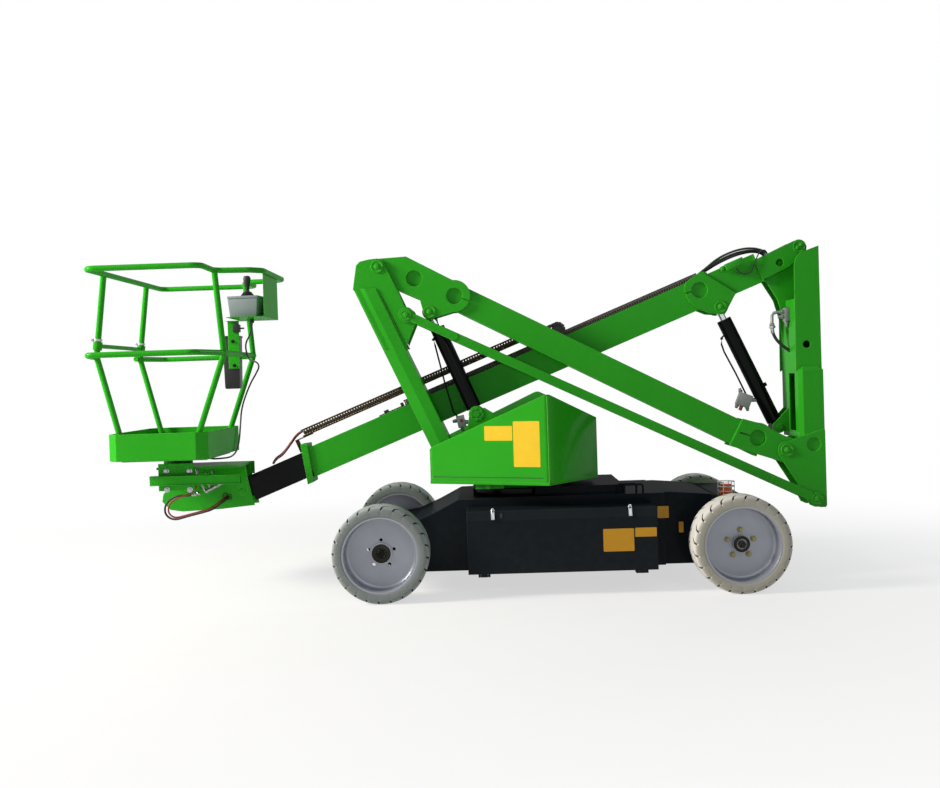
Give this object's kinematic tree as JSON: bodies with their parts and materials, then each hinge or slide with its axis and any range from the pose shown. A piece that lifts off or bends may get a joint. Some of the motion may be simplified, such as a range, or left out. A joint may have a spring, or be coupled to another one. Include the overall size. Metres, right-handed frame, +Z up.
{
  "type": "articulated boom lift",
  "caption": "Electric articulated work platform: wheeled chassis, slewing turret, parallelogram boom, telescopic upper boom and railed cage that swings.",
  "frame": {"origin": "bottom centre of the bounding box, on the floor", "axes": "+X along the machine from the cage to the upright, +Y across it away from the side with the lower boom, +Z up"},
  "size_m": [4.419, 1.5, 2.0709],
  "materials": {
    "bare_steel": "satin",
    "battery_case": "matt",
    "battery_lead": "matt",
    "black_paint": "satin",
    "black_plastic": "matt",
    "button_red": "gloss",
    "chain_plastic": "matt",
    "control_grey": "satin",
    "dark_paint": "satin",
    "green_paint": "gloss",
    "guard_white": "gloss",
    "lens_amber": "gloss",
    "rim_silver": "satin",
    "rod_chrome": "polished",
    "tray_brown": "satin",
    "tyre_drive": "matt",
    "tyre_steer": "matt"
  },
  "bodies": {
    "chassis": {"chassis_frame": "dark_paint", "battery_boxes": "dark_paint", "battery_packs": "battery_case", "door_hinges": "dark_paint", "drive_motors": "black_paint", "steer_axle": "black_paint", "slew_ring": "black_paint", "grab_handles": "dark_paint", "beacon": "lens_amber", "beacon_guard": "guard_white", "stop_buttons": "button_red"},
    "door_near": {"battery_door_near": "dark_paint"},
    "door_far": {"battery_door_far": "dark_paint"},
    "wheel_drive_near": {"tyre_drive_near": "tyre_drive", "rim_drive_near": "rim_silver"},
    "wheel_drive_far": {"tyre_drive_far": "tyre_drive", "rim_drive_far": "rim_silver"},
    "knuckle_near": {"steer_knuckle_near": "black_paint"},
    "knuckle_far": {"steer_knuckle_far": "black_paint"},
    "tie_rod": {"tie_rod": "bare_steel"},
    "wheel_steer_near": {"tyre_steer_near": "tyre_steer", "rim_steer_near": "rim_silver"},
    "wheel_steer_far": {"tyre_steer_far": "tyre_steer", "rim_steer_far": "rim_silver"},
    "turret": {"turntable": "green_paint", "slew_motor": "green_paint", "post": "green_paint", "post_pins": "green_paint", "cowl_near": "green_paint", "cowl_far": "green_paint", "power_pack": "battery_lead", "centre_cover": "green_paint"},
    "barrel_lower": {"cylinder_lower": "black_paint"},
    "rod_lower": {"rod_lower": "rod_chrome"},
    "lower_boom": {"lower_boom": "green_paint"},
    "tie_bars": {"tie_bars": "green_paint"},
    "upright": {"upright_column": "green_paint", "upright_head": "green_paint", "upright_pins": "green_paint"},
    "barrel_upper": {"cylinder_upper": "black_paint"},
    "rod_upper": {"rod_upper": "rod_chrome"},
    "upper_boom": {"upper_boom": "green_paint", "upper_brackets": "green_paint", "upper_pins": "green_paint", "fixed_tray": "black_paint"},
    "hose_chain": {"energy_chain": "chain_plastic"},
    "fly_boom": {"fly_boom": "black_paint", "moving_tray": "tray_brown"},
    "carrier": {"cage_carrier": "green_paint"},
    "cage": {"cage_floor": "green_paint", "cage_posts": "green_paint", "top_rail": "green_paint", "mid_rail": "green_paint", "control_bracket": "green_paint", "control_box": "control_grey", "joystick": "black_plastic", "holder_box": "black_plastic"},
    "drop_bar": {"drop_bar": "green_paint"}
  },
  "joints": [
    {"name": "slew", "type": "hinge", "parent": "chassis", "child": "turret", "pos_m": [0.3455, 0, 0.569], "axis": [0, 0, 1], "range_deg": [-177.5, 177.5]},
    {"name": "lower_boom_lift", "type": "hinge", "parent": "turret", "child": "lower_boom", "pos_m": [-0.4965, -0.095, 1.969], "axis": [0, -1, 0], "range_deg": [0, 58]},
    {"name": "tie_bar_pivot", "type": "hinge", "parent": "turret", "child": "tie_bars", "pos_m": [-0.3265, -0.095, 1.666], "axis": [0, -1, 0], "range_deg": [0, 58]},
    {"name": "upright_pivot", "type": "hinge", "parent": "lower_boom", "child": "upright", "pos_m": [1.9755, -0.095, 0.765], "axis": [0, -1, 0], "range_deg": [-58, 0]},
    {"name": "lower_cylinder_pivot", "type": "hinge", "parent": "turret", "child": "barrel_lower", "pos_m": [0.0855, -0.095, 1.043], "axis": [0, 1, 0], "range_deg": [0, 13.52]},
    {"name": "lower_rod_slide", "type": "slide", "parent": "barrel_lower", "child": "rod_lower", "axis": [-0.3897, 0, 0.9209], "range_m": [0, 0.3599]},
    {"name": "upper_boom_lift", "type": "hinge", "parent": "upright", "child": "upper_boom", "pos_m": [2.1395, 0.1, 2.025], "axis": [0, 1, 0], "range_deg": [0, 58]},
    {"name": "upper_cylinder_pivot", "type": "hinge", "parent": "upright", "child": "barrel_upper", "pos_m": [1.9935, 0.1, 0.896], "axis": [0, 1, 0], "range_deg": [0, 7.43]},
    {"name": "upper_rod_slide", "type": "slide", "parent": "barrel_upper", "child": "rod_upper", "axis": [-0.4182, 0, 0.9084], "range_m": [0, 0.5807]},
    {"name": "telescope", "type": "slide", "parent": "upper_boom", "child": "fly_boom", "axis": [-0.9291, 0, -0.3697], "range_m": [0, 1.5]},
    {"name": "hose_chain_slide", "type": "slide", "parent": "upper_boom", "child": "hose_chain", "axis": [-0.9291, 0, -0.3697], "range_m": [0, 0.75]},
    {"name": "cage_level", "type": "hinge", "parent": "fly_boom", "child": "carrier", "pos_m": [-1.4295, 0.1, 0.588], "axis": [0, 1, 0], "range_deg": [-58, 0]},
    {"name": "cage_swing", "type": "hinge", "parent": "carrier", "child": "cage", "pos_m": [-1.8235, 0, 0.8], "axis": [0, 0, 1], "range_deg": [-60, 60]},
    {"name": "drop_bar_lift", "type": "slide", "parent": "cage", "child": "drop_bar", "axis": [0.1211, 0, 0.9926], "range_m": [0, 0.3]},
    {"name": "door_near_hinge", "type": "hinge", "parent": "chassis", "child": "door_near", "pos_m": [0.624, -0.631, 0.127], "axis": [1, 0, 0], "range_deg": [0, 90]},
    {"name": "door_far_hinge", "type": "hinge", "parent": "chassis", "child": "door_far", "pos_m": [0.624, 0.631, 0.127], "axis": [-1, 0, 0], "range_deg": [0, 90]},
    {"name": "drive_near_spin", "type": "hinge", "parent": "chassis", "child": "wheel_drive_near", "pos_m": [-0.4795, -0.6475, 0.2775], "axis": [0, 1, 0], "continuous": true},
    {"name": "drive_far_spin", "type": "hinge", "parent": "chassis", "child": "wheel_drive_far", "pos_m": [-0.4795, 0.6475, 0.2775], "axis": [0, 1, 0], "continuous": true},
    {"name": "steer_near", "type": "hinge", "parent": "chassis", "child": "knuckle_near", "pos_m": [1.5705, -0.515, 0.2775], "axis": [0, 0, 1], "range_deg": [-35, 35]},
    {"name": "steer_far", "type": "hinge", "parent": "chassis", "child": "knuckle_far", "pos_m": [1.5705, 0.515, 0.2775], "axis": [0, 0, 1], "range_deg": [-35, 35]},
    {"name": "tie_rod_pivot", "type": "hinge", "parent": "knuckle_near", "child": "tie_rod", "pos_m": [1.6955, -0.515, 0.262], "axis": [0, 0, 1], "range_deg": [-35, 35]},
    {"name": "steer_near_spin", "type": "hinge", "parent": "knuckle_near", "child": "wheel_steer_near", "pos_m": [1.5705, -0.6475, 0.2775], "axis": [0, 1, 0], "continuous": true},
    {"name": "steer_far_spin", "type": "hinge", "parent": "knuckle_far", "child": "wheel_steer_far", "pos_m": [1.5705, 0.6475, 0.2775], "axis": [0, 1, 0], "continuous": true}
  ],
  "couplings": [
    {"joint": "tie_bar_pivot", "follows": "lower_boom_lift", "ratio": 1},
    {"joint": "upright_pivot", "follows": "lower_boom_lift", "ratio": -1},
    {"joint": "lower_cylinder_pivot", "follows": "lower_boom_lift", "ratio": 0.23286},
    {"joint": "lower_rod_slide", "follows": "lower_boom_lift", "m_per_rad": 0.35506},
    {"joint": "upper_cylinder_pivot", "follows": "upper_boom_lift", "ratio": 0.12793},
    {"joint": "upper_rod_slide", "follows": "upper_boom_lift", "m_per_rad": 0.57318},
    {"joint": "cage_level", "follows": "upper_boom_lift", "ratio": -1},
    {"joint": "hose_chain_slide", "follows": "telescope", "ratio": 0.5},
    {"joint": "steer_far", "follows": "steer_near", "ratio": 1},
    {"joint": "tie_rod_pivot", "follows": "steer_near", "ratio": -1}
  ]
}
